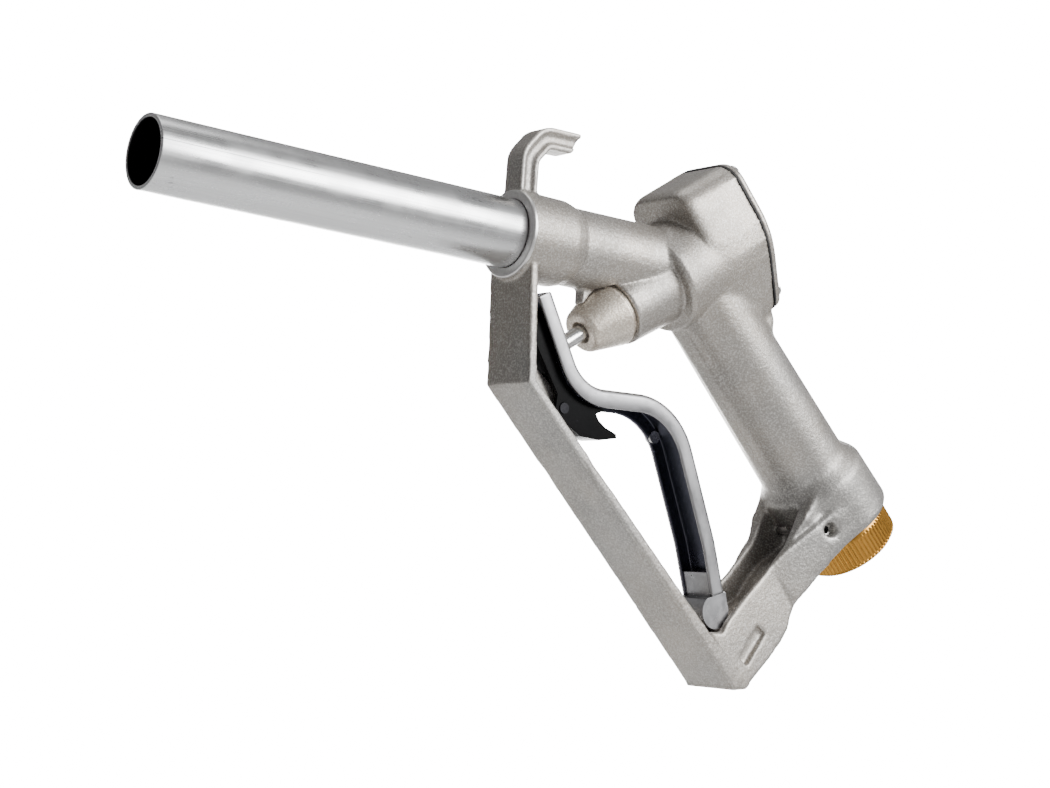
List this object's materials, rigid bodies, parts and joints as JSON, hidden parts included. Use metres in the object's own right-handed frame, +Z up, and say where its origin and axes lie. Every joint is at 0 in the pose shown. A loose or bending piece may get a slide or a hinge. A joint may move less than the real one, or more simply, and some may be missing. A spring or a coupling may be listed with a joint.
{
  "type": "fuel nozzle",
  "caption": "Hand-operated fuel nozzle: straight spout, cast body with guard and hanging hook, pull lever with hold-open latch, poppet valve and swivel hose inlet.",
  "frame": {"origin": "on the spout axis, at the shoulder of the spout in front of its collar", "axes": "+X back along the spout axis away from the tip, +Z up towards the hanging hook, Y across, Y = 0 the plane of symmetry"},
  "size_m": [0.3435, 0.0454, 0.1992],
  "materials": {
    "casting": "satin cast light alloy",
    "spout": "drawn and polished",
    "seal_rubber": "matte",
    "packing": "matte",
    "brass": "turned",
    "steel": "bright",
    "dark_steel": "blackened",
    "spring_steel": "drawn wire",
    "zinc_plate": "satin zinc plate",
    "black_plastic": "moulded, slightly glossy",
    "gold_ring": "knurled and gold anodised"
  },
  "bodies": {
    "body": {"nozzle_body": "casting", "casting_foot": "casting", "spout_tube": "spout", "spout_o_ring": "seal_rubber", "gland_nut": "casting", "gland_o_ring": "seal_rubber", "stem_packing": "packing", "packing_washer": "brass", "valve_seat": "brass", "chamber_cover": "casting", "cover_gasket": "seal_rubber", "cover_screws": "steel", "lever_pivot_pin": "steel", "latch_pin": "dark_steel", "swivel_roll_pin": "steel", "inlet_strainer": "brass", "valve_spring": "spring_steel"},
    "lever": {"trigger_lever": "zinc_plate", "lever_pivot_block": "zinc_plate", "lever_rivet": "steel"},
    "valve": {"valve_stem": "steel", "valve_poppet": "brass", "poppet_seal": "seal_rubber", "poppet_nut": "steel"},
    "latch": {"hold_open_latch": "black_plastic", "latch_spring": "spring_steel"},
    "swivel": {"inlet_swivel": "gold_ring", "swivel_o_rings": "seal_rubber", "hose_washer": "seal_rubber"}
  },
  "joints": [
    {"name": "lever_pivot", "type": "hinge", "parent": "body", "child": "lever", "pos_m": [0.1064, 0, -0.1272], "axis": [0, 1, 0], "range_deg": [0, 2], "stiffness_Nm_per_rad": 1.5},
    {"name": "valve_slide", "type": "slide", "parent": "body", "child": "valve", "axis": [0.8241, 0, 0.5664], "range_m": [0, 0.0042], "deforming": ["valve_spring"]},
    {"name": "latch_pivot", "type": "hinge", "parent": "body", "child": "latch", "pos_m": [0.0281, 0, -0.0597], "axis": [0, 1, 0], "range_deg": [0, 4], "stiffness_Nm_per_rad": 0.02},
    {"name": "swivel_turn", "type": "hinge", "parent": "body", "child": "swivel", "pos_m": [0.1854, 0, -0.0948], "axis": [0.7218, 0, -0.6921], "continuous": true}
  ],
  "couplings": [
    {"joint": "valve_slide", "follows": "lever_pivot", "m_per_rad": 0.1189}
  ]
}
